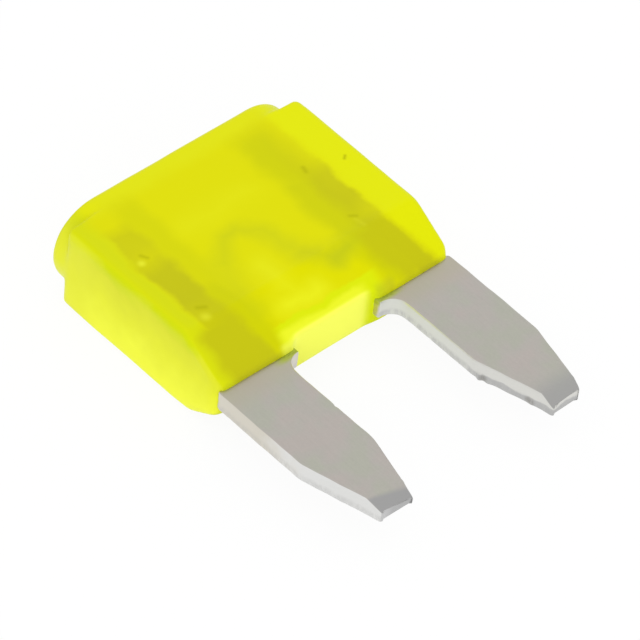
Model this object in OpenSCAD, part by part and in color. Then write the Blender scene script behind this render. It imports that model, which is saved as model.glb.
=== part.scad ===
// Small-format blade fuse, lying on its back face.
// +X runs across the blades, +Y towards the head, +Z up through the front face.
// A moulded housing is staked over a stamped element: both terminals and the fuse link are one strip.

/* [Overall] */
// Length from the blade tips to the top of the head
total_l = 16.3; // [14.5:0.1:20]
// Width across the housing, which the blades' outer edges line up with
body_w = 10.9; // [9:0.1:13.2]
// Thickness of the housing from its back face to its front face
body_t = 3.6; // [3:0.1:4.4]
// Length of the housing from the top of the head to the ends of its legs
body_l = 9.0; // [8.8:0.1:10.8]

/* [Housing] */
// Rounding of the long edges and of the corners beside the crown
edge_r = 0.25; // [0.1:0.05:0.5]
// Rounding of the legs' outer corners
leg_corner_r = 0.5; // [0.2:0.05:1]
// Length of the slope that thins the blade end from the front
nose_front_l = 2; // [1.2:0.05:2.2]
// Length of the slope that thins the blade end from the back
nose_back_l = 1.6; // [1.2:0.05:2.2]
// Angle of both slopes to the faces, in degrees
nose_angle = 31; // [15:1:33]
// Rounding between the slopes and the ends of the legs
nose_r = 0.6; // [0.3:0.05:0.7]
// Height of the round-ended crown on the head
crown_h = 0.74; // [0.6:0.02:1]
// Distance of the crown's round ends from the sides
crown_inset = 0.05; // [0.05:0.01:0.5]
// Rounding of the crown's top edge
crown_edge_r = 0.24; // [0.1:0.02:0.5]
// Depth of the hollow between the legs
hollow_h = 0.26; // [0.2:0.02:0.6]
// Width of the hollow's flat floor
hollow_floor_w = 3.4; // [2.8:0.1:3.8]
// Width of the hollow at the ends of the legs
hollow_mouth_w = 4.6; // [4:0.1:4.8]
// Thickness of the wall in front of and behind the link chamber
wall_t = 0.6; // [0.4:0.05:0.75]
// Thickness of the wall between the chamber and the hollow's floor
floor_t = 0.7; // [0.5:0.05:0.9]
// Depth of the chamber's top below the top of the head
chamber_top = 2.1; // [1.6:0.1:2.4]

/* [Test points] */
// Width of each probe window in the head
window_w = 1.2; // [0.8:0.1:1.5]
// Thickness of each probe window, front to back
window_t = 0.9; // [0.6:0.1:1.2]

/* [Element] */
// Thickness of the strip
strip_t = 0.78; // [0.6:0.02:1]
// Width of each blade
blade_w = 2.8; // [2.2:0.1:3.4]
// Length of each blade's taper
tip_l = 2.8; // [2:0.1:3.6]
// Width of each blade at its tip
tip_w = 1.35; // [0.8:0.05:1.5]
// Length of the coined bevel on the front of each tip
bevel_l = 0.7; // [0.4:0.05:1]
// Depth of the coined bevel at the very tip
bevel_h = 0.28; // [0.1:0.02:0.4]
// How far each blade's outer shoulder sits up inside its leg
shoulder_seat = 0.2; // [0.1:0.05:0.4]
// Width of each terminal inside the housing
terminal_w = 2.15; // [1.8:0.05:2.3]
// Plastic left between each terminal and the side of the housing
side_wall = 0.85; // [0.5:0.05:1]
// Depth of the terminals' upper ends below the top of the head
terminal_top = 1.0; // [0.8:0.05:1.4]
// How far each foot reaches in from its terminal
foot_reach = 0.55; // [0.3:0.05:0.6]
// Height of each foot
foot_h = 1.0; // [0.8:0.05:1.2]
// How far each foot shows below the legs
foot_proud = 0.12; // [0.05:0.01:0.2]
// Radius where the foot runs into the blade's inner edge
foot_r = 0.6; // [0.3:0.05:0.7]

/* [Fuse link] */
// Width of the link
link_w = 0.8; // [0.6:0.05:1]
// Thickness of the link
link_t = 0.3; // [0.2:0.05:0.5]
// Width of the link at the middle of its arch
neck_w = 0.5; // [0.3:0.05:0.6]
// Depth of the link's root on one terminal, below the top of the head
low_root = 7.2; // [6.8:0.1:7.2]
// Depth of the link's root on the other terminal, below the top of the head
high_root = 6.2; // [5.8:0.1:6.4]
// Radius of the link's arch at the middle of the strip
arch_r = 1.3; // [1:0.05:1.35]
// Radius of the link's bends at the middle of the strip
bend_r = 0.65; // [0.5:0.05:0.7]
// Clearance between the arch and the top of the chamber
arch_clear = 0.3; // [0.1:0.05:0.4]
// Sideways place of the arch's centre
arch_x = -0.1; // [-0.15:0.05:0.15]

/* [Stakes] */
// Diameter of the stake holes in the terminals
stake_hole_d = 0.62; // [0.5:0.02:0.8]
// Distance of the stakes from the middle of each terminal, towards the side
stake_offset = 0.2; // [0:0.05:0.4]
// Depth of the upper stakes below the top of the head
upper_stake = 3.1; // [2.6:0.1:3.6]
// Distance between the upper and the lower stakes
stake_pitch = 3.1; // [2.4:0.1:3.6]

/* [Fit] */
// Gap between the strip and the plastic around it
fit_gap = 0.04; // [0.02:0.01:0.08]

/* [Hidden] */
$fn = 64;
eps = 0.01;
plastic = [0.88, 0.89, 0.06];
zinc = [0.69, 0.68, 0.65];

head_y = total_l / 2;
leg_y = head_y - body_l;
tip_y = -total_l / 2;
half_w = body_w / 2;
mid_z = body_t / 2;
crown_r = body_t / 2;
longest_slope = nose_r + ((mid_z - eps) * cos(nose_angle) - nose_r) / sin(nose_angle);
hollow_y = leg_y + hollow_h;
chamber_low_y = hollow_y + floor_t;
chamber_top_y = head_y - chamber_top;

terminal_out = half_w - side_wall;
terminal_in = terminal_out - terminal_w;
foot_in = terminal_in - foot_reach;
foot_low_y = leg_y - foot_proud;
terminal_top_y = head_y - terminal_top;
blade_in = half_w - blade_w;
blade_mid = half_w - blade_w / 2;
shoulder_y = leg_y + shoulder_seat;
taper_y = tip_y + tip_l;
terminal_mid = (terminal_in + terminal_out) / 2;

link_mid_y = head_y - low_root;
link_high_y = head_y - high_root;
limb_low_x = arch_x - arch_r;
limb_high_x = arch_x + arch_r;
arch_y = chamber_top_y - arch_clear - arch_r - link_w / 2;

stake_x = terminal_mid + stake_offset;
stake_ys = [head_y - upper_stake, head_y - upper_stake - stake_pitch];
stake_d = stake_hole_d - 2 * fit_gap;

// Places its children, drawn with x as Y and y as Z, across the whole width
module across(width) {
  translate([-width / 2, 0, 0])
    rotate([90, 0, 90])
      linear_extrude(width)
        children();
}

// Places its children, drawn with x as X and y as Z, from y_low up to y_high
module along(y_low, y_high) {
  translate([0, y_high, 0])
    rotate([90, 0, 0])
      linear_extrude(y_high - y_low)
        children();
}

// Rectangle between two corners with its four corners rounded
module round_box(x_low, y_low, x_high, y_high, r) {
  translate([x_low + r, y_low])
    square([x_high - x_low - 2 * r, y_high - y_low]);
  translate([x_low, y_low + r])
    square([x_high - x_low, y_high - y_low - 2 * r]);
  for (x = [x_low + r, x_high - r], y = [y_low + r, y_high - r])
    translate([x, y])
      circle(r);
}

// Quarter of a flat ring round the origin, from angle to angle + 90
module quarter_ring(r, width, angle) {
  rotate(angle)
    intersection() {
      difference() {
        circle(r + width / 2);
        circle(r - width / 2);
      }
      square(r + width);
    }
}

// Rectangle between two corners
module bar(x_low, y_low, x_high, y_high) {
  translate([x_low, y_low])
    square([x_high - x_low, y_high - y_low]);
}

// ---- Housing ----

// Front half of the body's side view: square at the crown, sloped and rounded at the blade end
module half_side(slope_l) {
  length = min(slope_l, longest_slope);
  y = leg_y + nose_r;
  z = body_t - (nose_r + sin(nose_angle) * (length - nose_r)) / cos(nose_angle);
  polygon([
    [leg_y, mid_z - eps],
    [leg_y, z],
    [y, z],
    [y - nose_r * sin(nose_angle), z + nose_r * cos(nose_angle)],
    [leg_y + length, body_t],
    [head_y - crown_h, body_t],
    [head_y - crown_h, mid_z - eps]
  ]);
  translate([y, z])
    circle(nose_r);
}

module body_side() {
  half_side(nose_front_l);
  translate([0, body_t])
    mirror([0, 1])
      half_side(nose_back_l);
}

module body_block() {
  intersection() {
    across(body_w)
      body_side();
    along(leg_y, head_y - crown_h)
      round_box(-half_w, 0, half_w, body_t, edge_r);
    linear_extrude(body_t) {
      round_box(-half_w, leg_y + leg_corner_r, half_w, head_y - crown_h, edge_r);
      round_box(-half_w, leg_y, half_w, head_y - crown_h - edge_r, leg_corner_r);
    }
  }
}

// Crown: a flat block with half-round ends, its top edge rounded all the way
module crown() {
  low = -crown_h - edge_r;
  end_x = half_w - crown_inset - crown_r;
  module profile(r) {
    bar(0, low, r, -crown_edge_r);
    bar(0, low, r - crown_edge_r, 0);
    translate([r - crown_edge_r, -crown_edge_r])
      circle(crown_edge_r);
  }
  translate([0, head_y, mid_z]) {
    for (x = [-end_x, end_x])
      translate([x, 0, 0])
        rotate([-90, 0, 0])
          rotate_extrude()
            intersection() {
              profile(crown_r);
              bar(0, low, crown_r, 0);
            }
    for (side = [0, 1])
      mirror([0, 0, side])
        rotate([90, 0, 90])
          translate([0, 0, -end_x])
            linear_extrude(2 * end_x)
              rotate(90)
                mirror([0, 1])
                  profile(crown_r);
  }
}

// Trapezoid taken out between the legs
module leg_hollow() {
  translate([0, 0, -eps])
    linear_extrude(body_t + 2 * eps)
      polygon([
        [-hollow_mouth_w / 2, leg_y - eps],
        [hollow_mouth_w / 2, leg_y - eps],
        [hollow_floor_w / 2, hollow_y],
        [-hollow_floor_w / 2, hollow_y]
      ]);
}

// Front half of the link chamber's section, cut back under the slope to keep the wall
module half_chamber(slope_l) {
  z = body_t - wall_t;
  cut_y = max(chamber_low_y + eps, leg_y + min(slope_l, longest_slope) + wall_t * tan(nose_angle / 2));
  polygon([
    [chamber_low_y, mid_z - eps],
    [chamber_low_y, max(mid_z, z - (cut_y - chamber_low_y) * tan(nose_angle))],
    [cut_y, z],
    [chamber_top_y, z],
    [chamber_top_y, mid_z - eps]
  ]);
}

// Chamber for the link and a slot for each terminal and its foot
module element_space() {
  across(2 * terminal_in) {
    half_chamber(nose_front_l);
    translate([0, body_t])
      mirror([0, 1])
        half_chamber(nose_back_l);
  }
  slot_t = strip_t + 2 * fit_gap;
  for (side = [0, 1])
    mirror([side, 0, 0])
      translate([0, 0, mid_z - slot_t / 2])
        linear_extrude(slot_t) {
          bar(terminal_in - fit_gap, leg_y - eps, terminal_out + fit_gap, terminal_top_y + fit_gap);
          bar(foot_in - fit_gap, leg_y - eps, terminal_in + eps, foot_low_y + foot_h + fit_gap);
          bar(terminal_out, leg_y - eps, half_w + eps, shoulder_y + fit_gap);
        }
}

// Window from the top of the head down to each terminal's upper end
module probe_windows() {
  for (side = [-1, 1])
    along(terminal_top_y, head_y + eps)
      bar(
        side * terminal_mid - window_w / 2, mid_z - window_t / 2,
        side * terminal_mid + window_w / 2, mid_z + window_t / 2
      );
}

// Plastic pins pressed through the terminals' holes
module stakes() {
  for (side = [-1, 1], y = stake_ys)
    translate([side * stake_x, y, mid_z - strip_t])
      cylinder(h = 2 * strip_t, d = stake_d);
}

module housing() {
  color(plastic) {
    difference() {
      union() {
        body_block();
        crown();
      }
      leg_hollow();
      element_space();
      probe_windows();
    }
    stakes();
  }
}

// ---- Element ----

// One terminal with its foot and blade, on the +X side
module terminal_outline() {
  difference() {
    union() {
      bar(terminal_in, foot_low_y, terminal_out, terminal_top_y);
      bar(foot_in, foot_low_y, terminal_out, foot_low_y + foot_h);
      bar(blade_in - foot_r, foot_low_y - foot_r, blade_in + eps, foot_low_y + eps);
    }
    translate([blade_in - foot_r, foot_low_y - foot_r])
      circle(foot_r);
    for (y = stake_ys)
      translate([stake_x, y])
        circle(stake_hole_d / 2);
  }
  polygon([
    [blade_in, shoulder_y],
    [blade_in, taper_y],
    [blade_mid - tip_w / 2, tip_y],
    [blade_mid + tip_w / 2, tip_y],
    [half_w, taper_y],
    [half_w, shoulder_y]
  ]);
}

// Coined bevel across the front of both tips
module tip_bevel() {
  translate([0, 0, mid_z + strip_t / 2])
    across(body_w + 2 * eps)
      polygon([
        [tip_y - eps, -bevel_h],
        [tip_y, -bevel_h],
        [tip_y + bevel_l, 0],
        [tip_y + bevel_l, eps],
        [tip_y - eps, eps]
      ]);
}

// Arched link from the low root on the -X terminal to the high root on the +X terminal
module link_outline() {
  difference() {
    union() {
      bar(-terminal_in - eps, link_mid_y - link_w / 2, limb_low_x - bend_r + eps, link_mid_y + link_w / 2);
      translate([limb_low_x - bend_r, link_mid_y + bend_r])
        quarter_ring(bend_r, link_w, -90);
      bar(limb_low_x - link_w / 2, link_mid_y + bend_r - eps, limb_low_x + link_w / 2, arch_y + eps);
      translate([arch_x, arch_y]) {
        quarter_ring(arch_r, link_w, 90);
        quarter_ring(arch_r, link_w, 0);
      }
      bar(limb_high_x - link_w / 2, link_high_y + bend_r - eps, limb_high_x + link_w / 2, arch_y + eps);
      translate([limb_high_x + bend_r, link_high_y + bend_r])
        quarter_ring(bend_r, link_w, 180);
      bar(limb_high_x + bend_r - eps, link_high_y - link_w / 2, terminal_in + eps, link_high_y + link_w / 2);
    }
    // The neck, where the link melts, is notched from above
    translate([arch_x, arch_y + arch_r + link_w / 2])
      circle(link_w - neck_w);
  }
}

module fuse_element() {
  color(zinc) {
    difference() {
      for (side = [0, 1])
        mirror([side, 0, 0])
          translate([0, 0, mid_z - strip_t / 2])
            linear_extrude(strip_t)
              terminal_outline();
      tip_bevel();
    }
    translate([0, 0, mid_z - link_t / 2])
      linear_extrude(link_t)
        link_outline();
  }
}

housing();
fuse_element();
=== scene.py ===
import math
import bpy, bmesh
from mathutils import Matrix, Vector, noise


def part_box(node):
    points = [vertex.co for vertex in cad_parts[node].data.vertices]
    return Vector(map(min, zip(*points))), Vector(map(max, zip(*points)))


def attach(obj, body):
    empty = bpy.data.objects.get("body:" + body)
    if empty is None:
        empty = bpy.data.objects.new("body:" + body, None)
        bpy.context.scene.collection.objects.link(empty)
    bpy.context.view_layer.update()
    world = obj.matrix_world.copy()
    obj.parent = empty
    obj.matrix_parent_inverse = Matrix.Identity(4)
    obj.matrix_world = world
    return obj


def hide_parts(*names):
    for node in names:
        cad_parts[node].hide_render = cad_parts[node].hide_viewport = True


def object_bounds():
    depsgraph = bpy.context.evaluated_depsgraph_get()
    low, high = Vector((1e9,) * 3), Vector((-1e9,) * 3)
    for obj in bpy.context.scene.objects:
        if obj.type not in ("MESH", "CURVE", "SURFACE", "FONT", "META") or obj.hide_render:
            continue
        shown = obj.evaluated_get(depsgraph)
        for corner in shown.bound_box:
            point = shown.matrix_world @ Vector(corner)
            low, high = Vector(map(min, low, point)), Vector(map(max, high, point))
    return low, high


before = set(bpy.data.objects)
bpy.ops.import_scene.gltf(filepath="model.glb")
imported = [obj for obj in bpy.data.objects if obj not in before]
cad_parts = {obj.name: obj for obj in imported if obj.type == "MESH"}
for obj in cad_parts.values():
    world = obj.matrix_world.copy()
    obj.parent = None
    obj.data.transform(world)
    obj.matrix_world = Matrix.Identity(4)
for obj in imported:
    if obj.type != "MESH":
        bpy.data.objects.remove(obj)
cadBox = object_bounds()
mm = 0.001
scene = bpy.context.scene


class Wire:  # a socket that can stand in a sum
    def __init__(self, paint, socket):
        self.paint = paint
        self.socket = socket

    def join(self, operation, first, second):
        return self.paint.node("ShaderNodeMath", {"operation": operation}, {0: first, 1: second})

    def __add__(self, other): return self.join("ADD", self, other)
    def __radd__(self, other): return self.join("ADD", other, self)
    def __sub__(self, other): return self.join("SUBTRACT", self, other)
    def __rsub__(self, other): return self.join("SUBTRACT", other, self)
    def __mul__(self, other): return self.join("MULTIPLY", self, other)
    def __rmul__(self, other): return self.join("MULTIPLY", other, self)
    def __truediv__(self, other): return self.join("DIVIDE", self, other)
    def __rtruediv__(self, other): return self.join("DIVIDE", other, self)
    def __abs__(self): return self.join("MAXIMUM", self, self * -1.0)


class Paint:  # the nodes of one material, or of the sky
    def __init__(self, owner):
        owner.use_nodes = True
        self.owner = owner
        self.tree = owner.node_tree
        self.tree.nodes.clear()

    def node(self, kind, settings=None, sockets=None, out=0):
        made = self.tree.nodes.new(kind)
        for key, value in (settings or {}).items():
            if key == "stops":
                ramp = made.color_ramp
                while len(ramp.elements) < len(value):
                    ramp.elements.new(0.5)
                for stop, (place, colour) in zip(ramp.elements, value):
                    stop.position = place
                    stop.color = (*colour, 1.0)
            else:
                setattr(made, key, value)
        for key, value in (sockets or {}).items():
            socket = made.inputs[key]
            if isinstance(value, Wire):
                self.tree.links.new(value.socket, socket)
            else:
                socket.default_value = (*value, 1.0) if socket.type == "RGBA" else value
        return Wire(self, made.outputs[out])

    def output(self, surface, kind="ShaderNodeOutputMaterial"):
        end = self.tree.nodes.new(kind)
        self.tree.links.new(surface.socket, end.inputs["Surface"])
        return self.owner

    def smooth(self, value, low, high):  # 0 at low, 1 at high, eased
        return self.node("ShaderNodeMapRange", {"interpolation_type": "SMOOTHSTEP"},
                         {"Value": value, "From Min": low, "From Max": high})

    def ramp(self, value, stops):
        return self.node("ShaderNodeValToRGB", {"stops": stops}, {0: value})

    def largest(self, first, *rest):
        for other in rest:
            first = first.join("MAXIMUM", first, other)
        return first

    def mix(self, factor, first, second):  # of colours
        return self.node("ShaderNodeMix", {"data_type": "RGBA"},
                         {0: factor, 6: first, 7: second}, out=2)

    def vector(self, operation, first, second, out=0):
        return self.node("ShaderNodeVectorMath", {"operation": operation},
                         {0: first, 1: second}, out)

    def scaled(self, vector, factor):
        return self.node("ShaderNodeVectorMath", {"operation": "SCALE"},
                         {0: vector, "Scale": factor})

    def axes(self, vector):
        split = self.node("ShaderNodeSeparateXYZ", None, {0: vector})
        return [Wire(self, socket) for socket in split.socket.node.outputs]

    def inMm(self):  # the place on the piece
        return self.scaled(self.node("ShaderNodeTexCoord", out="Object"), 1 / mm)

    def facing(self):
        return self.axes(self.node("ShaderNodeNewGeometry", out="Normal"))

    def cloud(self, where, scale, detail, roughness, out="Fac"):
        return self.node("ShaderNodeTexNoise", None, {
            "Vector": where, "Scale": scale, "Detail": detail, "Roughness": roughness}, out)

    def seenRay(self):  # 1 for what the camera sees, mirrored or not, 0 for gathered light
        rays = self.node("ShaderNodeLightPath").socket.node.outputs
        return self.largest(*[Wire(self, rays[name]) for name in (
            "Is Camera Ray", "Is Glossy Ray", "Is Transmission Ray")])


def addObject(name, mesh, material=None):
    if material:
        mesh.materials.append(material)
    made = bpy.data.objects.new(name, mesh)
    scene.collection.objects.link(made)
    return made


view = {
    "eye": (-0.133017, -0.124043, 0.188354),
    "right": (0.73848564, -0.66932849, 0.08147595),
    "forward": (0.51044, 0.47601, -0.71615),
    "lens": 421.4,
    "sensor": 36.0,
    "nearest": 0.01,
    "farthest": 20.0,
}

studio = {
    "white": (1, 1, 1),
    "skyStrength": 0.90,     # as a light; it looks white
    "lampSize": 0.30,
    "lampPower": 0.30,
    "lampPlace": (-0.24, -0.26, 0.16),
    "floorSize": 4.0,
    "floorDrop": 0.02,       # mm below the part, so that the two never share a plane
    "floorGlow": 0.92,
    "floorShine": 1.012,
    "floorColour": (0.93, 0.93, 0.93),
}


def placeCamera(setup):
    data = bpy.data.cameras.new("camera")
    data.lens = setup["lens"]
    data.sensor_width = setup["sensor"]
    data.clip_start = setup["nearest"]
    data.clip_end = setup["farthest"]
    made = bpy.data.objects.new("camera", data)
    scene.collection.objects.link(made)
    forward = Vector(setup["forward"]).normalized()
    right = Vector(setup["right"])
    right = (right - forward * right.dot(forward)).normalized()
    up = right.cross(forward)
    turn = Matrix((right, up, -forward)).transposed().to_4x4()
    made.matrix_world = Matrix.Translation(setup["eye"]) @ turn
    scene.camera = made


def makeSky(setup):
    scene.world = bpy.data.worlds.new("sky")
    paint = Paint(scene.world)
    strength = paint.node("ShaderNodeMapRange", None, {
        "Value": paint.seenRay(), "To Min": setup["skyStrength"], "To Max": 1.0})
    sky = paint.node("ShaderNodeBackground", None, {"Color": setup["white"], "Strength": strength})
    paint.output(sky, "ShaderNodeOutputWorld")


def floorMaterial(setup):  # a white glow that still takes a shadow
    paint = Paint(bpy.data.materials.new("paleFloor"))
    lit = paint.node("ShaderNodeBsdfDiffuse", None, {"Color": setup["floorColour"]})
    glow = paint.node("ShaderNodeEmission", None, {
        "Color": setup["white"], "Strength": setup["floorShine"]})
    return paint.output(paint.node("ShaderNodeMixShader", None, {
        0: paint.seenRay() * setup["floorGlow"], 1: lit, 2: glow}))


def makeFloor(setup):
    half = setup["floorSize"] / 2
    low = -setup["floorDrop"] * mm
    corners = [(-half, -half, low), (half, -half, low), (half, half, low), (-half, half, low)]
    mesh = bpy.data.meshes.new("floor")
    mesh.from_pydata(corners, [], [(0, 1, 2, 3)])
    addObject("floor", mesh, floorMaterial(setup))


def makeLamp(setup):
    data = bpy.data.lights.new("softbox", "AREA")
    data.shape = "DISK"
    data.size = setup["lampSize"]
    data.energy = setup["lampPower"]
    made = bpy.data.objects.new("softbox", data)
    scene.collection.objects.link(made)
    made.location = setup["lampPlace"]
    made.rotation_euler = (-Vector(setup["lampPlace"])).to_track_quat("-Z", "Y").to_euler()
    made.visible_glossy = False


placeCamera(view)
makeSky(studio)
makeFloor(studio)
makeLamp(studio)
scene.view_settings.view_transform = "Standard"
print("studio ready")


# Meshes are shaped in millimetres and scaled to metres at the end.
low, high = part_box("housing")
legY, headY, thick = low.y / mm, high.y / mm, high.z / mm
stripLow, stripHigh = (corner.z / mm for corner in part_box("fuse_element"))


def frameCopy(node):
    work = bmesh.new()
    work.from_mesh(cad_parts[node].data)
    bmesh.ops.scale(work, vec=(1 / mm,) * 3, verts=work.verts)
    return work


def toMesh(work, name):
    mesh = bpy.data.meshes.new(name)
    work.to_mesh(mesh)
    work.free()
    return mesh


def bake(piece):  # applies every modifier
    graph = bpy.context.evaluated_depsgraph_get()
    result = bpy.data.meshes.new_from_object(piece.evaluated_get(graph))
    piece.modifiers.clear()
    piece.data = result
    return piece


def soften(piece, share, steps, group=""):
    modifier = piece.modifiers.new("soften", "SMOOTH")
    modifier.factor = share
    modifier.iterations = steps
    modifier.vertex_group = group


def remeshed(name, mesh, sizes):
    piece = addObject(name, mesh)
    fuse = piece.modifiers.new("fuse", "REMESH")
    fuse.mode = "VOXEL"
    fuse.voxel_size = sizes["voxel"]
    soften(piece, sizes["smoothShare"], sizes["smoothSteps"])
    return bake(piece)


def finishMesh(mesh):  # kept inside the frame's own box, then scaled to metres
    low, high = Vector(cadBox[0]) / mm, Vector(cadBox[1]) / mm
    for vert in mesh.vertices:
        for axis in range(3):
            vert.co[axis] = min(max(vert.co[axis], low[axis]), high[axis])
    mesh.transform(Matrix.Scale(mm, 4))
    for face in mesh.polygons:
        face.use_smooth = True


def step(value, low, high):
    share = min(max((value - low) / (high - low), 0.0), 1.0)
    return share * share * (3 - 2 * share)


housing = {
    "voxel": 0.062,
    "smoothSteps": 6,
    "smoothShare": 0.5,
    # Corners that are softer still: how much, then ramps down from the head or out from the middle.
    "softer": [
        (1.0, [("down", 6.2, 7.4), ("out", 2.9, 3.6)]),      # ends of the legs
        (0.35, [("down", 6.2, 7.2)]),
        (0.6, [("out", 5.0, 5.3), ("down", 1.6, 1.1)]),      # shoulders
        (0.6, [("out", 4.2, 4.8), ("down", 1.25, 0.95), ("down", 0.3, 0.55)]),  # crown's root
        (0.34, [("out", 4.9, 5.3)]),                         # long side edges
    ],
    "softerSteps": 45,
    "fillAbove": 0.04,       # the fillings start this far above the legs' ends
    "fillHead": 1.0,         # the probe windows stay open above this depth
    "fillInner": 1.96,       # the terminals' slots are filled from here
    "fillOuter": 4.95,       # to here
    "slotSpare": 0.06,
    "legInner": 3.0,
    "legOuter": 5.3,         # the blades' shoulders fill the legs this far out
    "legHeight": 0.5,
    "chamberSide": 2.6,
    "chamberFoot": (0.9, 2.6),       # its shallow part's start and end, above the legs' ends
    "chamberFootWalls": (0.9, 1.1),  # behind that part and in front of it
    "chamberStart": 2.2,     # its deep part starts this far above the legs' ends
    "chamberHead": 2.0,      # and ends this far below the head
    "chamberWall": 0.5,
    "waveScale": 0.8,
    "wave": 0.012,           # gentle unevenness of the moulded faces
}


def addBox(work, low, high):
    made = bmesh.ops.create_cube(work, size=1.0)
    centre = (Vector(low) + Vector(high)) / 2
    size = Vector(high) - Vector(low)
    for vert in made["verts"]:
        vert.co = vert.co * size + centre


def fillSlots(work, sizes):  # hidden hollows, which would only cost faces
    back, front = stripLow - sizes["slotSpare"], stripHigh + sizes["slotSpare"]
    start = legY + sizes["fillAbove"]
    for side in (-1, 1):
        for inner, outer, end in (
                (sizes["fillInner"], sizes["fillOuter"], headY - sizes["fillHead"]),
                (sizes["legInner"], sizes["legOuter"], legY + sizes["legHeight"])):
            left, right = sorted((side * inner, side * outer))
            addBox(work, (left, start, back), (right, end, front))
    half = sizes["chamberSide"]
    first, last = (legY + edge for edge in sizes["chamberFoot"])
    behind, before = sizes["chamberFootWalls"]
    addBox(work, (-half, first, behind), (half, last, thick - before))
    wall = sizes["chamberWall"]
    addBox(work, (-half, legY + sizes["chamberStart"], wall),
           (half, headY - sizes["chamberHead"], thick - wall))


def softness(sizes, place):
    ways = {"down": headY - place.y, "out": abs(place.x)}
    return max(share * math.prod(step(ways[way], low, high) for way, low, high in ramps)
               for share, ramps in sizes["softer"])


def roundCorners(piece, sizes):
    group = piece.vertex_groups.new(name="corners")
    for vert in piece.data.vertices:
        weight = softness(sizes, vert.co)
        if weight > 0:
            group.add([vert.index], weight, "REPLACE")
    soften(piece, sizes["smoothShare"], sizes["softerSteps"], group.name)
    bake(piece)


def shapeHousing(sizes, material):
    work = frameCopy("housing")
    fillSlots(work, sizes)
    piece = remeshed("housingShell", toMesh(work, "housing"), sizes)
    roundCorners(piece, sizes)
    mesh = piece.data
    waves = [vert.normal * (noise.noise(vert.co * sizes["waveScale"]) * sizes["wave"])
             for vert in mesh.vertices]
    for vert, wave in zip(mesh.vertices, waves):
        vert.co += wave
    finishMesh(mesh)
    mesh.materials.append(material)
    return piece


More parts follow.
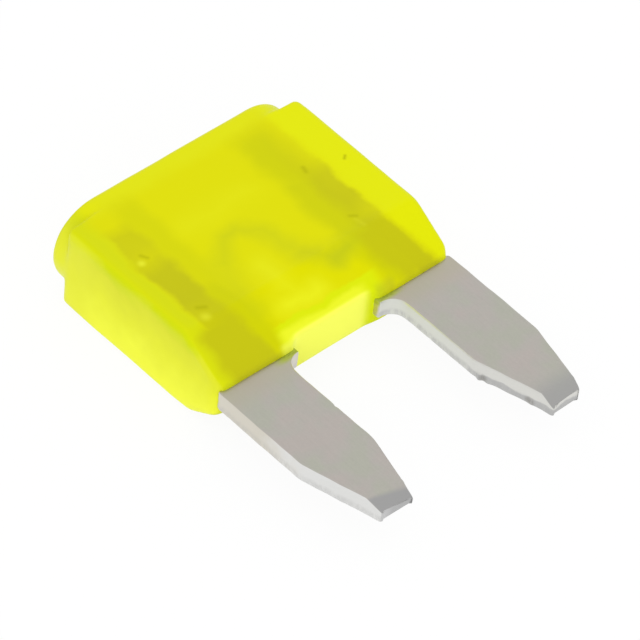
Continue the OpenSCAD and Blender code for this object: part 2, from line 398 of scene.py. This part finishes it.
# Colours of the plastic as it looks on its front face, over clear plastic or over metal.
# Pairs without a note are fades: gone at the first place, full at the second.
plastic = {
    "clear": (0.775, 0.765, 0.001),
    # painted light: paler where light comes through the plastic past the link
    "light": (0.89, 0.925, 0.018),
    "head": (0.79, 0.815, 0.008),
    "rightBand": (0.81, 0.845, 0.003),
    "leftBand": (0.70, 0.75, 0.006),
    # the next three: metal behind the front wall seen through the plastic, partly its own grey and
    # partly painted shade where it keeps light from coming through
    "overMetal": (0.575, 0.565, 0.008),
    "overTerminal": (0.64, 0.655, 0.003),
    "overLink": (0.585, 0.62, 0.010),
    # painted shade, for the stakes' crescents and the slopes
    "paintedShade": (0.45, 0.45, 0.0),
    "glint": (0.82, 0.84, 0.03),
    # edge, mouth, corner and hollow: painted light around the hollow between the legs
    "edge": (0.73, 0.84, 0.004),
    "mouth": (0.87, 0.94, 0.025),
    "corner": (0.89, 0.94, 0.09),
    "lip": (0.45, 0.47, 0.02),
    "hollow": (1.0, 1.0, 0.12),
    "sides": [(0.0, (0.94, 0.98, 0.06)), (0.2, (0.914, 0.958, 0.05)), (0.5, (0.813, 0.85, 0.03)),
              (0.8, (0.737, 0.767, 0.028)), (0.9, (0.672, 0.741, 0.016)),
              (0.96, (0.655, 0.735, 0.005))],    # from the back face to the front face
    "sidesAtHead": (0.79, 0.82, 0.035),
    "roughness": 0.34,
    "edgeRoughness": 0.35,
    "specular": 0.12,
    "gleam": (1.0, 1.0, 0.05),
    "through": (0.04, 0.085, 0.0),     # light that comes up through the thin centre wall
    "slantX": -0.7125,    # the marks lie on the front plane and run down its slopes at this slant
    "slantY": 0.679,
    "wobble": 0.75,       # how far the soft marks stray from their places
    "headFade": (1.3, 0.4),
    "rightFade": (3.5, 4.3),
    "leftFade": (-4.3, -5.0),
    "sideHeadFade": (3.0, 1.5),
    # Terminals behind the front wall: left, right, top, end, softness across and down, strength.
    "terminals": [
        (-3.6, -2.6, 0.9, 9.9, 0.4, 0.6, 0.5),
        (-4.2, -2.75, 5.4, 9.9, 0.35, 0.8, 0.85),
        (2.0, 3.3, 1.1, 4.4, 0.5, 0.7, 0.85),
        (1.9, 3.3, 3.6, 9.9, 0.4, 0.6, 0.9),
    ],
    "leftMetal": (-4.66, -3.52, 0.16, 0.24),    # left, right, softness of each
    "leftSeen": [(0.0, 0.0), (1.5, 0.05), (2.1, 0.66), (3.0, 0.6), (3.6, 0.42), (4.3, 0.95),
                 (6.0, 1.0), (6.7, 0.72), (7.5, 0.95), (9.6, 1.0)],    # strength by depth
    "rightMetal": (2.85, 3.88, 0.35, 0.17),
    "rightSeen": [(0.0, 0.0), (1.4, 0.1), (3.4, 0.3), (4.2, 0.75), (5.6, 0.85), (6.5, 0.5),
                  (7.2, 0.95), (9.6, 1.0)],
    "rightFoot": (2.35, 3.9, 7.0, 9.9, 0.3, 0.4, 0.9),
    # Strokes: start, end, radius, softness, strength.
    "leftFoot": [((-4.5, 7.9), (-4.9, 9.8), 0.75, 0.35, 1.0)],
    "link": [
        ((-2.75, 7.6), (-2.2, 5.3), 0.35, 0.6, 0.42),
        ((-2.2, 5.3), (-1.25, 4.4), 0.3, 0.5, 0.55),
        ((-1.25, 4.4), (-0.65, 4.35), 0.3, 0.5, 0.62),
        ((-0.65, 4.35), (0.1, 5.4), 0.3, 0.5, 0.55),
        ((0.1, 5.4), (0.35, 6.6), 0.3, 0.55, 0.55),
        ((0.35, 6.6), (1.1, 7.4), 0.35, 0.55, 0.75),
        ((1.15, 7.45), (1.75, 7.35), 0.4, 0.5, 1.05),
        ((1.75, 7.35), (3.0, 7.2), 0.35, 0.5, 0.9),
    ],
    # Painted light: strokes where light comes through the plastic.
    "glowing": [
        ((-1.15, 6.2), (-1.15, 7.9), 0.15, 0.85, 0.6),
        ((-1.75, 8.25), (-0.5, 8.3), 0.2, 0.9, 1.1),
        ((-2.0, 3.2), (0.8, 3.1), 0.1, 0.95, 0.3),
    ],
    # Stakes seen through the plastic: a bright spot of painted light where light comes through the
    # stake's hole, with a dark crescent of painted shade from the hole's wall, or a short dark
    # line, all in the painted shade colour.
    "crescents": [
        ((-4.2, 3.28), (-4.08, 3.5), 0.04, 0.12, 0.75),
        ((-4.3, 6.36), (-4.06, 6.5), 0.05, 0.15, 0.85),
        ((3.2, 3.5), (3.14, 3.72), 0.05, 0.13, 0.75),
        ((2.9, 6.28), (3.08, 6.42), 0.04, 0.12, 0.75),
        ((4.66, 4.06), (4.78, 3.96), 0.03, 0.09, 1.0),
    ],
    "glints": [((-4.42, 3.58), 0.12, 0.13, 1.0), ((-4.36, 6.86), 0.16, 0.16, 0.6)],
    "glintLine": [((2.95, 6.5), (3.02, 6.9), 0.0, 0.18, 0.4)],
    # The hollow between the legs, and the legs' ends.
    "hollowLeft": (-2.2, -1.75),
    "hollowRight": (1.85, 1.35),
    "mouthSides": (2.6, 2.0),
    "edgeDown": (8.6, 8.8),
    "mouthDown": (8.85, 9.15),
    "mouthRight": (1.9, 1.3),
    "cornerLeft": (-2.65, -2.3),
    "cornerRight": (-1.7, -1.9),
    "cornerUp": (0.3, 0.12),
    "lipUp": (0.16, 0.03),
    "lipInner": (2.0, 2.15),
    "nookUp": (0.5, 0.12),
    "nookLeft": (1.8, 2.1),
    "nookRight": (3.0, 2.6),
    "edgeOut": (3.4, 4.2),
    # By how a face is turned: the blades' way is -1, the head's way and the front are 1.
    "slopeTurn": (-0.05, -0.45),
    "slopeFront": (0.6, 0.8),
    "sideTurn": (0.35, 0.9),
    "mouthTurn": (-0.2, -0.6),
    "hollowTurn": (-0.5, -0.86),
    "shadeFront": (-0.2, 0.2),
    "edgeTurn": (0.3, 0.7),
    # Strengths of the single marks.
    "headShare": 0.8,
    "slopeShare": 0.07,
    "sideHeadShare": 0.6,
    "cornerShare": 0.8,
    "lipShare": 0.25,
    "nookShare": 0.5,
    "grainShare": 0.12,
    "bumpShare": 0.05,
    "bumpHeight": 0.00002,    # metres
}


def plasticMaterial(look):
    paint = Paint(bpy.data.materials.new("yellowPlastic"))
    place = paint.inMm()
    x, y, z = paint.axes(place)
    nx, ny, nz = paint.facing()
    wobble = paint.cloud(place, scale=0.8, detail=3.0, roughness=0.55, out="Color")
    stray = paint.scaled(paint.vector("SUBTRACT", wobble, (0.5, 0.5, 0.5)), look["wobble"])
    strayX, strayY, _ = paint.axes(paint.vector("ADD", place, stray))

    depth = z.join("MINIMUM", z, thick - z)      # below the nearer face
    over = strayX + depth * look["slantX"]
    down = headY - strayY + depth * look["slantY"]
    soft = paint.node("ShaderNodeCombineXYZ", None, {0: over, 1: down})
    crisp = paint.node("ShaderNodeCombineXYZ", None, {
        0: x + depth * look["slantX"], 1: headY - y + depth * look["slantY"]})

    def band(left, right, softLeft, softRight):
        return (paint.smooth(over, left - softLeft, left + softLeft)
                * paint.smooth(over, right + softRight, right - softRight))

    def patch(left, right, top, end, softOver, softDown, strength):
        rows = (paint.smooth(down, top - softDown, top + softDown)
                * paint.smooth(down, end + softDown, end - softDown))
        return band(left, right, softOver, softOver) * rows * strength

    def byDepth(stops):  # a ramp runs from 0 to 1, so it takes the depth in centimetres
        return paint.ramp(down / 10, [(at / 10, (grey, grey, grey)) for at, grey in stops])

    def spot(centre, radius, softness, strength):
        far = paint.vector("DISTANCE", crisp, (*centre, 0.0), "Value")
        return paint.smooth(far, radius + softness, radius - softness) * strength

    def stroke(where, start, end, radius, softness, strength):
        along = Vector((*end, 0.0)) - Vector((*start, 0.0))
        offset = paint.vector("SUBTRACT", where, (*start, 0.0))
        share = paint.node("ShaderNodeMath", {"operation": "MULTIPLY", "use_clamp": True}, {
            0: paint.vector("DOT_PRODUCT", offset, tuple(along), "Value"),
            1: 1 / along.length_squared})
        far = paint.vector("DISTANCE", offset, paint.scaled(tuple(along), share), "Value")
        return paint.smooth(far, radius + softness, radius - softness) * strength

    def strokes(name, where=soft):
        return paint.largest(*[stroke(where, *row) for row in look[name]])

    def fade(value, name):
        return paint.smooth(value, *look[name])

    def fadeAboveLegs(name):
        return paint.smooth(y, *[legY + edge for edge in look[name]])

    # the metal behind the front wall, seen through the plastic: partly its own grey, partly painted
    # shade where it keeps light from coming through
    terminals = paint.largest(*[patch(*row) for row in look["terminals"]])
    metal = paint.largest(band(*look["leftMetal"]) * byDepth(look["leftSeen"]),
                          strokes("leftFoot"),
                          band(*look["rightMetal"]) * byDepth(look["rightSeen"]),
                          patch(*look["rightFoot"]))
    colour = paint.mix(strokes("glowing"), look["clear"], look["light"])
    colour = paint.mix(fade(down, "headFade") * look["headShare"], colour, look["head"])
    colour = paint.mix(fade(over, "rightFade"), colour, look["rightBand"])
    colour = paint.mix(fade(over, "leftFade"), colour, look["leftBand"])
    colour = paint.mix(terminals, colour, look["overTerminal"])
    colour = paint.mix(strokes("link"), colour, look["overLink"])
    colour = paint.mix(metal, colour, look["overMetal"])
    # painted light through the stake holes, and a painted highlight along a terminal's edge
    glints = paint.largest(*[spot(*row) for row in look["glints"]], strokes("glintLine", crisp))
    colour = paint.mix(glints, colour, look["glint"])
    colour = paint.mix(strokes("crescents", crisp), colour, look["paintedShade"])

    # the slopes above the blades catch more light, so they get a little painted shade
    slope = fade(ny, "slopeTurn") * fade(nz, "slopeFront")
    colour = paint.mix(slope * look["slopeShare"], colour, look["paintedShade"])
    # sides: paler towards the back, where light comes up through them
    sides = paint.ramp((z + (strayX - x) * 2) / thick, look["sides"])
    nearHead = paint.smooth(y, *[headY - edge for edge in look["sideHeadFade"]])
    sides = paint.mix(nearHead * look["sideHeadShare"], sides, look["sidesAtHead"])
    colour = paint.mix(fade(abs(nx), "sideTurn"), colour, sides)
    # hollow between the legs, in painted light: a paler strip on the rim, the pale face below it
    # where light comes through the thin wall, and a pale patch at the left leg's corner
    mouth = fade(ny, "mouthTurn") * fade(abs(x), "mouthSides")
    colour = paint.mix(mouth * fade(down, "edgeDown"), colour, look["edge"])
    mouth = mouth * fade(down, "mouthDown") * fade(x, "mouthRight")
    colour = paint.mix(mouth, colour, look["mouth"])
    pale = fade(ny, "hollowTurn") * fade(x, "hollowRight") * fade(x, "hollowLeft")
    colour = paint.mix(pale, colour, look["hollow"])
    corner = fade(x, "cornerLeft") * fade(x, "cornerRight") * fadeAboveLegs("cornerUp")
    colour = paint.mix(corner * look["cornerShare"], colour, look["corner"])
    # thin shade where the legs end on the metal
    lip = fadeAboveLegs("lipUp") * fade(abs(x), "lipInner")
    nook = fadeAboveLegs("nookUp") * fade(x, "nookLeft") * fade(x, "nookRight")
    shade = paint.largest(lip * look["lipShare"], nook * look["nookShare"])
    colour = paint.mix(shade * fade(nz, "shadeFront"), colour, look["lip"])

    grain = paint.cloud(place, scale=9.0, detail=3.0, roughness=0.6)
    bump = paint.node("ShaderNodeBump", None, {
        "Strength": look["bumpShare"], "Distance": look["bumpHeight"], "Height": grain})
    rough = look["roughness"] + (grain - 0.5) * look["grainShare"]
    headEdge = fade(ny, "edgeTurn") * fade(abs(x), "edgeOut")
    rough = rough + headEdge * look["edgeRoughness"]
    return paint.output(paint.node("ShaderNodeBsdfPrincipled", None, {
        "Base Color": colour, "Roughness": rough, "IOR": 1.5,
        "Emission Color": paint.mix(pale, (0, 0, 0), look["through"]), "Emission Strength": 1.0,
        "Specular IOR Level": look["specular"], "Specular Tint": look["gleam"], "Normal": bump}))


shell = shapeHousing(housing, plasticMaterial(plastic))
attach(shell, "root")
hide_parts("housing")
print("housing ready:", len(shell.data.polygons), "faces")


# The stamped strip's places: out from the middle, then down from the head.
strip = {
    "cutAt": 8.65,           # above this the shape is the frame's own, below it each blade is built
    "overlap": 0.12,
    "voxel": 0.07,
    "smoothSteps": 2,
    "smoothShare": 0.5,
    "weld": 0.0005,          # points of the frame's mesh closer than this are one
    "terminalOuter": 4.6,
    "footInner": 1.9,
    "shoulder": 8.8,
    "footEnd": 9.12,
    "footRound": 0.6,
    "dieRoll": 0.07,         # soft top edge left by the punch
    "rollTurns": (0, 30, 60, 90),
    "sideRows": (0.2, 0.32, 0.44, 0.55, 0.66, 0.77, 0.88),    # shares of the thickness
    "burrStart": 0.95,
    "landShare": 0.5,        # smooth part of the sheared side
    "fracture": 0.016,       # roughness of the rest
    "fractureGrain": 5,
    "burr": 0.02,
    "burrDrop": 0.05,        # the torn edge hangs this far below the back face
    "backLift": 0.004,       # keeps the back face inside the frame's
    "edgeWave": 0.02,
    "edgeGrain": (0.8, 1.6),
    "faceWave": 0.008,
    "faceGrain": 1.1,
    "softenCorners": 11,
    "tipRound": 0.07,
    "tipTurns": (18, 36, 54, 72, 86),
    "endShare": 0.96,        # the end face bulges a little and is smaller than the last ring
    "endBulge": 0.012,
    "across": 18,            # steps from edge to edge
    "spacing": 0.055,        # of the rings along a blade
    "sharpFrom": 50,         # degrees
}

bladeLeft = {
    "side": -1, "seed": 3.0, "inner": 2.61, "outer": 5.43,
    "innerTaper": 13.75, "outerTaper": 13.1,
    "coinInner": (3.17, 15.85), "coinOuter": (4.675, 15.85),
    "tipInner": (3.02, 16.3), "tipOuter": (4.56, 16.3),
    "bevelInner": (3.17, 15.86), "bevelOuter": (4.6, 15.62),
    "depthInner": 0.62, "depthOuter": 0.32,
    "nicks": [(11.8, -0.035, 0.08)],    # along the inner edge: where, how far out, half length
    "burrs": [],
}

bladeRight = {
    "side": 1, "seed": 11.0, "inner": 2.65, "outer": 5.45,
    "innerTaper": 13.15, "outerTaper": 13.35,
    "coinInner": (3.42, 15.8), "coinOuter": (4.87, 15.8),
    "tipInner": (3.49, 16.3), "tipOuter": (4.82, 16.27),
    "bevelInner": (3.4, 15.72), "bevelOuter": (5.0, 15.85),
    "depthInner": 0.42, "depthOuter": 0.3,
    "nicks": [],
    "burrs": [(13.42, 0.09, 0.1), (13.75, 0.05, 0.14), (15.4, 0.03, 0.12)],
}


def bladeEdges(sizes, blade):  # points down both edges, paired
    top, deep = sizes["cutAt"] - sizes["overlap"], sizes["footEnd"] + sizes["footRound"]
    centre = Vector((blade["inner"] - sizes["footRound"], deep))
    inner = [(sizes["footInner"], top), (sizes["footInner"], sizes["footEnd"]),
             (centre.x, sizes["footEnd"]), (blade["inner"], deep),
             (blade["inner"], blade["innerTaper"]), blade["coinInner"], blade["tipInner"]]
    outer = [(sizes["terminalOuter"], top), (sizes["terminalOuter"], sizes["shoulder"]),
             (blade["outer"], sizes["shoulder"]), (blade["outer"], deep),
             (blade["outer"], blade["outerTaper"]), blade["coinOuter"], blade["tipOuter"]]
    inner, outer = [Vector(knot) for knot in inner], [Vector(knot) for knot in outer]
    fillet = 2               # the stretch under the foot
    last = len(inner) - 2
    pairs = []
    for k in range(last + 1):
        lengths = [(knots[k + 1] - knots[k]).length / sizes["spacing"] for knots in (inner, outer)]
        steps = math.ceil(max(2, *lengths))
        for i in range(steps + (k == last)):
            share = i / steps
            near = inner[k].lerp(inner[k + 1], share)
            if k == fillet:
                turn = share * math.pi / 2
                near = centre + sizes["footRound"] * Vector((math.sin(turn), -math.cos(turn)))
            pairs.append((near, outer[k].lerp(outer[k + 1], share)))
    return [list(path) for path in zip(*pairs)]


def roundTip(sizes, inner, outer):  # both corners of the end
    radius = sizes["tipRound"]
    endIn, endOut = inner[-1].copy(), outer[-1].copy()
    while inner and min(endIn.y, endOut.y) - inner[-1].y < radius:
        inner.pop()
        outer.pop()
    startIn, startOut = inner[-1], outer[-1]
    for degrees in sizes["tipTurns"]:
        turn = math.radians(degrees)
        ahead = math.sin(turn)
        aside = Vector((radius * (1 - math.cos(turn)), 0))
        inner.append(startIn.lerp(endIn, ahead) + aside)
        outer.append(startOut.lerp(endOut, ahead) - aside)


def relaxed(path, steps):
    for _ in range(steps):
        path = [path[0]] + [(path[i - 1] + path[i] * 2 + path[i + 1]) / 4
                            for i in range(1, len(path) - 1)] + [path[-1]]
    return path


def inward(path, other):  # unit vectors from an edge into the metal
    result = []
    for i in range(len(path)):
        along = path[min(i + 1, len(path) - 1)] - path[max(i - 1, 0)]
        result.append(Vector((along.y, -along.x)).normalized())
    low = len(path) - len(path) // 3    # a place well down the blade
    flip = 1 if result[low].dot(other[low] - path[low]) > 0 else -1
    return [flip * side for side in result]


def hump(value, centre, half):
    share = (value - centre) / half
    return math.exp(-share * share)


def frontOf(sizes, blade, point):  # height of the front face above the strip's middle plane
    starts, ends = [[Vector(blade[key + side]) for side in ("Inner", "Outer")]
                    for key in ("bevel", "tip")]
    across = (point.x - ends[0].x) / (ends[1].x - ends[0].x)
    start, end = starts[0].lerp(starts[1], across).y, ends[0].lerp(ends[1], across).y
    across = min(max(across, 0.0), 1.0)
    deep = blade["depthInner"] + (blade["depthOuter"] - blade["depthInner"]) * across
    full = (stripHigh - stripLow) / 2
    grain = sizes["faceGrain"]
    wave = noise.noise(Vector((point.x * grain, point.y * grain, blade["seed"])))
    wave = wave * sizes["faceWave"]
    return full - sizes["faceWave"] + wave - deep * max(0.0, (point.y - start) / (end - start))


def sideProfile(sizes):  # from the front corner to the back corner: (inset, share of thickness)
    roll = sizes["dieRoll"]
    full = stripHigh - stripLow
    turns = [math.radians(turn) for turn in sizes["rollTurns"]]
    rows = [(roll * (1 - math.sin(turn)), roll * (1 - math.cos(turn)) / full) for turn in turns]
    rows += [(0.0, share) for share in sizes["sideRows"]]
    return rows + [(sizes["burr"] * 0.2, sizes["burrStart"]), (sizes["burr"], 1.0)]


def bladeRing(sizes, blade, i, inner, outer, toInner, toOuter):
    middle = (stripHigh + stripLow) / 2
    back = stripLow + sizes["backLift"]
    rows = sideProfile(sizes)

    def point(flat, share):
        front = middle + frontOf(sizes, blade, flat)
        return Vector((blade["side"] * flat.x, headY - flat.y, front + (back - front) * share))

    def edgePoint(base, into, row, isInner):
        depth, share = row
        grain = sizes["fractureGrain"]
        rough = noise.noise(Vector((base.x * grain, base.y * grain, share * 9 + blade["seed"])))
        if share > sizes["landShare"]:
            depth += sizes["fracture"] * (0.35 + 0.65 * rough)
        if isInner:
            for at, out, half in blade["burrs"]:      # fullest at the back
                depth -= out * hump(base.y, at, half) * max(0.0, (share - 0.5) * 2)
            for at, out, half in blade["nicks"]:      # fullest at the front
                depth -= out * hump(base.y, at, half) * max(0.0, 1 - share * 2.5)
        made = point(base + into * depth, share)      # its last tenth hangs down
        made.z -= sizes["burrDrop"] * max(0.0, share - 0.9) * 10 * (0.6 + 0.4 * rough)
        return made

    left = [edgePoint(inner[i], toInner[i], row, True) for row in rows]
    right = [edgePoint(outer[i], toOuter[i], row, False) for row in rows]
    start = inner[i] + toInner[i] * sizes["dieRoll"]
    end = outer[i] + toOuter[i] * sizes["dieRoll"]
    flats = [start.lerp(end, k / sizes["across"]) for k in range(1, sizes["across"])]
    front = [point(flat, 0.0) for flat in flats]
    rear = [point(flat, 1.0) for flat in flats]
    return left + rear + right[::-1] + front[::-1]


def addBlade(work, sizes, blade):
    inner, outer = (relaxed(path, sizes["softenCorners"]) for path in bladeEdges(sizes, blade))
    grainX, grainY = sizes["edgeGrain"]
    for path, offset in ((inner, 0.0), (outer, 40.0)):
        for i, point in enumerate(path):
            spot = Vector((point.x * grainX, point.y * grainY, blade["seed"] + offset))
            path[i] = point + Vector((noise.noise(spot) * sizes["edgeWave"], 0.0))
    roundTip(sizes, inner, outer)
    toInner, toOuter = inward(inner, outer), inward(outer, inner)
    rings = [bladeRing(sizes, blade, i, inner, outer, toInner, toOuter) for i in range(len(inner))]
    last = rings[-1]
    centre = sum(last, Vector()) / len(last)
    bulge = Vector((0, -sizes["endBulge"], 0))
    rings.append([centre + (point - centre) * sizes["endShare"] + bulge for point in last])
    verts = [[work.verts.new(point) for point in ring] for ring in rings]
    for one, two in zip(verts, verts[1:]):
        for k in range(len(one)):
            j = (k + 1) % len(one)
            work.faces.new((one[k], one[j], two[j], two[k]))
    work.faces.new(verts[0])
    work.faces.new(list(reversed(verts[-1])))


def coreMesh(sizes):  # terminals and link, cut off inside the legs
    work = frameCopy("fuse_element")
    bmesh.ops.remove_doubles(work, verts=work.verts, dist=sizes["weld"])
    cut = bmesh.ops.bisect_plane(work, geom=work.verts[:] + work.edges[:] + work.faces[:],
                                 plane_co=(0, headY - sizes["cutAt"], 0), plane_no=(0, -1, 0),
                                 clear_outer=True)
    edges = [item for item in cut["geom_cut"] if isinstance(item, bmesh.types.BMEdge)]
    bmesh.ops.holes_fill(work, edges=edges, sides=0)
    return toMesh(work, "core")


def shapeElement(sizes, blades, material):
    core = remeshed("core", coreMesh(sizes), sizes)
    work = bmesh.new()
    work.from_mesh(core.data)
    bpy.data.objects.remove(core)
    for blade in blades:
        addBlade(work, sizes, blade)
    bmesh.ops.recalc_face_normals(work, faces=work.faces)
    mesh = toMesh(work, "strip")
    finishMesh(mesh)
    mesh.set_sharp_from_angle(angle=math.radians(sizes["sharpFrom"]))
    return addObject("stampedStrip", mesh, material)


# Pairs are fades here too: gone at the first place, full at the second.
zinc = {
    "warm": (0.478, 0.438, 0.41),
    "plain": (0.462, 0.440, 0.405),
    "cool": (0.445, 0.445, 0.385),
    # painted shade for the coined bevels' turned faces
    "bevel": (0.366, 0.364, 0.362),
    # sheared sides: partly their own shine, partly painted reflection of the bright surroundings
    "shearedSheenWarm": (0.68, 0.645, 0.565),
    "shearedSheenPlain": (0.70, 0.71, 0.655),
    "shearedSheenCool": (0.78, 0.78, 0.765),
    "shearedSheenDull": (0.70, 0.695, 0.66),
    "torn": (0.46, 0.46, 0.455),
    "mark": (0.30, 0.29, 0.27),
    "housingReflection": (0.475, 0.435, 0.33),
    "underLip": (0.41, 0.48, 0.05),
    "footEnd": (0.64, 0.61, 0.56),
    "endOuter": (0.57, 0.57, 0.57),
    "endInner": (0.46, 0.46, 0.46),
    "roughness": 0.36,
    # places down from the head
    "bevelDown": (15.5, 15.75),
    "fadedDown": (15.0, 16.1),
    "askewDown": (15.6, 15.78),
    "askewAt": -4.7,         # the left bevel starts askew, by this slope from this place
    "askewSlope": 0.2,
    "nearDown": (10.4, 9.2),
    "lipDown": (9.26, 9.04),
    "lipLeft": 0.08,         # the left leg's line lies this much lower
    "coolDown": (11.0, 13.4),
    "bandDown": (12.4, 13.6),
    "tipDown": (15.9, 16.1),
    # places out from the middle
    "lipOut": (3.2, 2.5),
    "footOut": (2.2, 2.0),
    "endOut": (-4.4, -3.9),
    # places up from the strip's back face, and down from its front face
    "tornUp": (0.36, 0.16),
    "bandUp": (0.3, 0.22),
    "glowBelowFront": (0.3, 0.1),
    # smears beside the burrs: out, down, size
    "smears": [(2.72, 13.58, 0.1), (3.3, 15.35, 0.14)],
    "smearUp": 0.12,
    # by how a face is turned: the tip's way is -1, the front 1
    "bevelFront": (0.965, 0.90),
    "bevelLeast": (0.3, 0.45),
    "bevelSide": (0.6, 0.4),
    "sideTurn": (0.82, 0.5),
    "footTurn": (0.5, 0.8),
    "tipTurn": (-0.6, -0.85),
    # by the grit's own noise
    "tornGrit": (0.3, 0.6),
    "smearGrit": (0.3, 0.5),
    # strengths of the single marks
    "fadedShare": 0.85,
    "nearShare": 0.6,
    "lipShare": 0.9,
    "tornShares": (0.3, 0.3),    # on both blades, and more on the right one
    "bandShare": 0.8,
    "glowShare": 0.7,
    "smearShare": 0.75,
    "bumpShare": 0.12,
    "bumpHeight": 0.00001,       # metres
}


def zincMaterial(look):
    paint = Paint(bpy.data.materials.new("stampedZinc"))
    place = paint.inMm()
    x, y, z = paint.axes(place)
    nx, ny, nz = paint.facing()
    down = headY - y
    onRight, onLeft = paint.smooth(x, 0.0, 0.5), paint.smooth(x, 0.5, 0.0)

    def fade(value, name):
        return paint.smooth(value, *look[name])

    def fadeUp(value, name):
        return paint.smooth(value, *[stripLow + edge for edge in look[name]])

    def stretched(*factors):
        return paint.vector("MULTIPLY", place, factors)

    patches = paint.cloud(place, scale=0.75, detail=3.0, roughness=0.5)
    fine = paint.cloud(place, scale=14.0, detail=4.0, roughness=0.65)
    streaks = paint.cloud(stretched(6.0, 0.5, 1.0), scale=3.0, detail=3.0, roughness=0.6)
    grit = paint.cloud(stretched(1.0, 1.0, 0.35), scale=5.0, detail=4.0, roughness=0.7)
    tint = paint.ramp(patches, [(0.38, look["cool"]), (0.5, look["plain"]), (0.62, look["warm"])])
    shade = 1.0 + (fine - 0.5) * 0.14 + (streaks - 0.5) * 0.10
    shades = paint.node("ShaderNodeCombineXYZ", None, {0: shade, 1: shade, 2: shade})
    front = paint.vector("MULTIPLY", tint, shades)

    # coined bevels at the tips, in painted shade: darker where the face turns away from the light,
    # and a broad soft darkening down the right tip
    bevel = fade(nz, "bevelFront") * fade(nz, "bevelLeast") * fade(down, "bevelDown")
    bevel = bevel * fade(abs(nx), "bevelSide")
    askew = fade(down - (x - look["askewAt"]) * look["askewSlope"], "askewDown")
    broadBevelShade = fade(down, "fadedDown") * onRight * look["fadedShare"]
    coined = paint.largest(bevel * askew * onLeft, broadBevelShade)
    front = paint.mix(coined, front, look["bevel"])
    # painted reflection of the yellow housing on the blades next to it
    front = paint.mix(fade(down, "nearDown") * look["nearShare"], front, look["housingReflection"])
    # painted shade, tinted by a painted reflection of the yellow housing, just under the legs' ends
    under = fade(down - onLeft * look["lipLeft"], "lipDown") * fade(abs(x), "lipOut")
    front = paint.mix(under * look["lipShare"], front, look["underLip"])

    # sheared sides: a bright smooth land over a rougher torn band; their paleness is partly the
    # land's own shine and partly painted reflection of the bright surroundings, more so further
    # down the blades
    bare = paint.mix(onRight, look["shearedSheenWarm"], look["shearedSheenPlain"])
    cool = paint.mix(onRight, look["shearedSheenCool"], look["shearedSheenDull"])
    bare = paint.mix(fade(down + (patches - 0.5) * 4, "coolDown"), bare, cool)
    torn = fadeUp(z, "tornUp") * fade(grit, "tornGrit")
    everywhere, more = look["tornShares"]
    bare = paint.mix(torn * (everywhere + onRight * more), bare, look["torn"])
    band = fadeUp(z + (patches - 0.5) * 0.6, "bandUp") * fade(down, "bandDown") * onRight
    bare = paint.mix(band * look["bandShare"], bare, look["torn"])
    inside = fade(abs(nx), "footTurn") * fade(abs(x), "footOut")
    bare = paint.mix(inside, bare, look["footEnd"])
    # painted shade and a painted reflection of the yellow housing on the top of the feet's inner
    # ends
    glow = paint.smooth(z, *[stripHigh - edge for edge in look["glowBelowFront"]])
    bare = paint.mix(inside * glow * look["glowShare"], bare, look["underLip"])
    ending = paint.mix(fade(x, "endOut"), look["endOuter"], look["endInner"])
    tipFace = fade(ny, "tipTurn") * fade(down, "tipDown") * onLeft
    bare = paint.mix(tipFace, bare, ending)
    side = fade(abs(nz), "sideTurn") * (1.0 - bevel)
    front = paint.mix(side, front, bare)

    def smear(out, below, size):
        centre = (out, headY - below, stripLow + look["smearUp"])
        far = paint.vector("DISTANCE", place, centre, "Value")
        return paint.smooth(far, size + 0.12, size - 0.05)

    smears = paint.largest(*[smear(*row) for row in look["smears"]]) * fade(grit, "smearGrit")
    front = paint.mix(smears * look["smearShare"], front, look["mark"])

    rolled = paint.node("ShaderNodeBump", None, {
        "Strength": look["bumpShare"], "Distance": look["bumpHeight"],
        "Height": streaks + fine * 0.5})
    rough = look["roughness"] + (patches - 0.5) * 0.15 + (fine - 0.5) * 0.1
    return paint.output(paint.node("ShaderNodeBsdfPrincipled", None, {
        "Base Color": front, "Metallic": 1.0, "Roughness": rough, "Normal": rolled}))


element = shapeElement(strip, (bladeLeft, bladeRight), zincMaterial(zinc))
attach(element, "root")
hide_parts("fuse_element")
print("element ready:", len(element.data.polygons), "faces")
